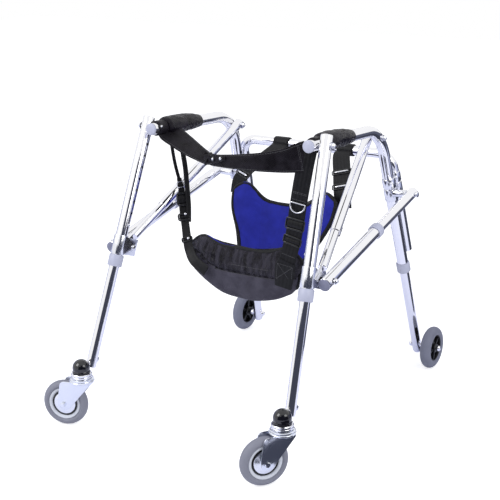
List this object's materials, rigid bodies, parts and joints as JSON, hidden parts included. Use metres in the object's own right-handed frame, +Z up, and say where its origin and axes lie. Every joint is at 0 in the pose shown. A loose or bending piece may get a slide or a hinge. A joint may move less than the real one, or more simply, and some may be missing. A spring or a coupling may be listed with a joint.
{
  "type": "pediatric walker",
  "caption": "Folding four-wheel children's walker with telescoping legs, swivel rear casters, padded armrests, a back band and a sling seat.",
  "frame": {"origin": "centre of the footprint's box, on the floor, with the casters turned as they are at rest", "axes": "+Z up, +Y the way the user walks, +X the user's right"},
  "size_m": [0.6191, 0.8052, 0.6413],
  "materials": {
    "chrome": "polished chrome-plated steel tube",
    "bright_steel": "bright plated steel",
    "gray_plastic": "light gray moulded plastic",
    "black_plastic": "glossy black plastic",
    "black_hub": "black moulded wheel hub",
    "light_hub": "light gray moulded wheel hub",
    "gray_tyre": "solid gray-blue rubber tyre",
    "dark_tyre": "solid dark gray rubber tyre",
    "black_cloth": "padded black nylon",
    "black_webbing": "woven black webbing"
  },
  "bodies": {
    "frame": {"cross_frame": "chrome", "back_band": "black_cloth", "seat_sling": "black_cloth", "side_tube_right": "chrome", "armrest_end_plug_right": "gray_plastic", "upper_bracket_right": "bright_steel", "mid_bracket_right": "bright_steel", "armrest_pad_right": "black_cloth", "rear_strap_right": "black_webbing", "front_strap_right": "black_webbing", "front_collar_right": "gray_plastic", "side_tube_left": "chrome", "armrest_end_plug_left": "gray_plastic", "upper_bracket_left": "bright_steel", "mid_bracket_left": "bright_steel", "armrest_pad_left": "black_cloth", "rear_strap_left": "black_webbing", "front_strap_left": "black_webbing", "front_collar_left": "gray_plastic"},
    "rear_leg_right": {"rear_leg_tube_right": "chrome", "leg_bracket_right": "bright_steel", "rear_collar_right": "gray_plastic"},
    "rear_foot_right": {"rear_lower_tube_right": "chrome", "caster_stem_right": "black_plastic"},
    "rear_button_body_right": {"rear_button_right": "bright_steel"},
    "caster_right": {"caster_fork_right": "bright_steel"},
    "caster_wheel_right": {"caster_tyre_right": "gray_tyre", "caster_hub_right": "light_hub"},
    "front_foot_right": {"front_lower_tube_right": "chrome"},
    "front_button_body_right": {"front_button_right": "bright_steel"},
    "front_wheel_right": {"front_tyre_right": "dark_tyre", "front_hub_right": "black_hub"},
    "inner_brace_right": {"inner_brace_tube_right": "chrome"},
    "inner_rod_right": {"inner_brace_rod_right": "chrome"},
    "latch_right": {"brace_latch_right": "black_plastic"},
    "outer_rod_right": {"outer_brace_rod_right": "chrome"},
    "outer_brace_right": {"outer_brace_tube_right": "chrome", "outer_brace_collar_right": "gray_plastic", "outer_brace_plug_right": "gray_plastic"},
    "rear_leg_left": {"rear_leg_tube_left": "chrome", "leg_bracket_left": "bright_steel", "rear_collar_left": "gray_plastic"},
    "rear_foot_left": {"rear_lower_tube_left": "chrome", "caster_stem_left": "black_plastic"},
    "rear_button_body_left": {"rear_button_left": "bright_steel"},
    "caster_left": {"caster_fork_left": "bright_steel"},
    "caster_wheel_left": {"caster_tyre_left": "gray_tyre", "caster_hub_left": "light_hub"},
    "front_foot_left": {"front_lower_tube_left": "chrome"},
    "front_button_body_left": {"front_button_left": "bright_steel"},
    "front_wheel_left": {"front_tyre_left": "dark_tyre", "front_hub_left": "black_hub"},
    "inner_brace_left": {"inner_brace_tube_left": "chrome"},
    "inner_rod_left": {"inner_brace_rod_left": "chrome"},
    "latch_left": {"brace_latch_left": "black_plastic"},
    "outer_rod_left": {"outer_brace_rod_left": "chrome"},
    "outer_brace_left": {"outer_brace_tube_left": "chrome", "outer_brace_collar_left": "gray_plastic", "outer_brace_plug_left": "gray_plastic"}
  },
  "joints": [
    {"name": "rear_leg_fold_right", "type": "hinge", "parent": "frame", "child": "rear_leg_right", "pos_m": [0.24022, -0.1068, 0.61649], "axis": [0.9982, 0, 0.0593], "range_deg": [0, 28]},
    {"name": "rear_leg_slide_right", "type": "slide", "parent": "rear_leg_right", "child": "rear_foot_right", "axis": [-0.0553, 0.3616, 0.9307], "range_m": [0, 0.1524]},
    {"name": "rear_button_press_right", "type": "slide", "parent": "rear_foot_right", "child": "rear_button_body_right", "axis": [0.9982, 0, 0.0593], "range_m": [0, 0.003], "stiffness_N_per_m": 800},
    {"name": "caster_swivel_right", "type": "hinge", "parent": "rear_foot_right", "child": "caster_right", "pos_m": [0.27033, -0.32808, 0.11], "axis": [0, 0, 1], "continuous": true},
    {"name": "caster_roll_right", "type": "hinge", "parent": "caster_right", "child": "caster_wheel_right", "pos_m": [0.24741, -0.35963, 0.05], "axis": [-0.809, 0.5878, 0], "continuous": true},
    {"name": "front_leg_slide_right", "type": "slide", "parent": "frame", "child": "front_foot_right", "axis": [-0.0569, -0.284, 0.9571], "range_m": [0, 0.1524]},
    {"name": "front_button_press_right", "type": "slide", "parent": "front_foot_right", "child": "front_button_body_right", "axis": [0.9982, 0, 0.0593], "range_m": [0, 0.003], "stiffness_N_per_m": 800},
    {"name": "front_roll_right", "type": "hinge", "parent": "front_foot_right", "child": "front_wheel_right", "pos_m": [0.28634, 0.3525, 0.05], "axis": [1, 0, 0], "continuous": true},
    {"name": "inner_brace_hinge_right", "type": "hinge", "parent": "frame", "child": "inner_brace_right", "pos_m": [0.19123, 0.1782, 0.57952], "axis": [0.9982, 0, 0.0593], "range_deg": [0, 14]},
    {"name": "inner_rod_slide_right", "type": "slide", "parent": "inner_brace_right", "child": "inner_rod_right", "axis": [-0.169, 0.8385, 0.518], "range_m": [0, 0.105]},
    {"name": "brace_latch_hinge_right", "type": "hinge", "parent": "inner_brace_right", "child": "latch_right", "pos_m": [0.23608, -0.0338, 0.43271], "axis": [0.9843, 0.1168, 0.132], "range_deg": [0, 20], "stiffness_Nm_per_rad": 0.02},
    {"name": "outer_rod_hinge_right", "type": "hinge", "parent": "frame", "child": "outer_rod_right", "pos_m": [0.27866, 0.2228, 0.45348], "axis": [0.9982, 0, 0.0593], "range_deg": [0, 8]},
    {"name": "outer_tube_slide_right", "type": "slide", "parent": "outer_rod_right", "child": "outer_brace_right", "axis": [-0.013, 0.9755, 0.2196], "range_m": [0, 0.125]},
    {"name": "rear_leg_fold_left", "type": "hinge", "parent": "frame", "child": "rear_leg_left", "pos_m": [-0.19362, -0.1068, 0.61649], "axis": [0.9982, 0, -0.0593], "range_deg": [0, 28]},
    {"name": "rear_leg_slide_left", "type": "slide", "parent": "rear_leg_left", "child": "rear_foot_left", "axis": [0.0553, 0.3616, 0.9307], "range_m": [0, 0.1524]},
    {"name": "rear_button_press_left", "type": "slide", "parent": "rear_foot_left", "child": "rear_button_body_left", "axis": [-0.9982, 0, 0.0593], "range_m": [0, 0.003], "stiffness_N_per_m": 800},
    {"name": "caster_swivel_left", "type": "hinge", "parent": "rear_foot_left", "child": "caster_left", "pos_m": [-0.22373, -0.32808, 0.11], "axis": [0, 0, 1], "continuous": true},
    {"name": "caster_roll_left", "type": "hinge", "parent": "caster_left", "child": "caster_wheel_left", "pos_m": [-0.26103, -0.33948, 0.05], "axis": [-0.2924, 0.9563, 0], "continuous": true},
    {"name": "front_leg_slide_left", "type": "slide", "parent": "frame", "child": "front_foot_left", "axis": [0.0569, -0.284, 0.9571], "range_m": [0, 0.1524]},
    {"name": "front_button_press_left", "type": "slide", "parent": "front_foot_left", "child": "front_button_body_left", "axis": [-0.9982, 0, 0.0593], "range_m": [0, 0.003], "stiffness_N_per_m": 800},
    {"name": "front_roll_left", "type": "hinge", "parent": "front_foot_left", "child": "front_wheel_left", "pos_m": [-0.23974, 0.3525, 0.05], "axis": [1, 0, 0], "continuous": true},
    {"name": "inner_brace_hinge_left", "type": "hinge", "parent": "frame", "child": "inner_brace_left", "pos_m": [-0.14463, 0.1782, 0.57952], "axis": [0.9982, 0, -0.0593], "range_deg": [0, 14]},
    {"name": "inner_rod_slide_left", "type": "slide", "parent": "inner_brace_left", "child": "inner_rod_left", "axis": [0.169, 0.8385, 0.518], "range_m": [0, 0.105]},
    {"name": "brace_latch_hinge_left", "type": "hinge", "parent": "inner_brace_left", "child": "latch_left", "pos_m": [-0.18948, -0.0338, 0.43271], "axis": [0.9843, -0.1168, -0.132], "range_deg": [0, 20], "stiffness_Nm_per_rad": 0.02},
    {"name": "outer_rod_hinge_left", "type": "hinge", "parent": "frame", "child": "outer_rod_left", "pos_m": [-0.23206, 0.2228, 0.45348], "axis": [0.9982, 0, -0.0593], "range_deg": [0, 8]},
    {"name": "outer_tube_slide_left", "type": "slide", "parent": "outer_rod_left", "child": "outer_brace_left", "axis": [0.013, 0.9755, 0.2196], "range_m": [0, 0.125]}
  ],
  "couplings": [
    {"joint": "inner_brace_hinge_right", "follows": "rear_leg_fold_right", "ratio": 0.4509},
    {"joint": "inner_rod_slide_right", "follows": "rear_leg_fold_right", "m_per_rad": 0.2017},
    {"joint": "outer_rod_hinge_right", "follows": "rear_leg_fold_right", "ratio": 0.2288},
    {"joint": "outer_tube_slide_right", "follows": "rear_leg_fold_right", "m_per_rad": 0.2477},
    {"joint": "inner_brace_hinge_left", "follows": "rear_leg_fold_left", "ratio": 0.4509},
    {"joint": "inner_rod_slide_left", "follows": "rear_leg_fold_left", "m_per_rad": 0.2017},
    {"joint": "outer_rod_hinge_left", "follows": "rear_leg_fold_left", "ratio": 0.2288},
    {"joint": "outer_tube_slide_left", "follows": "rear_leg_fold_left", "m_per_rad": 0.2477}
  ]
}
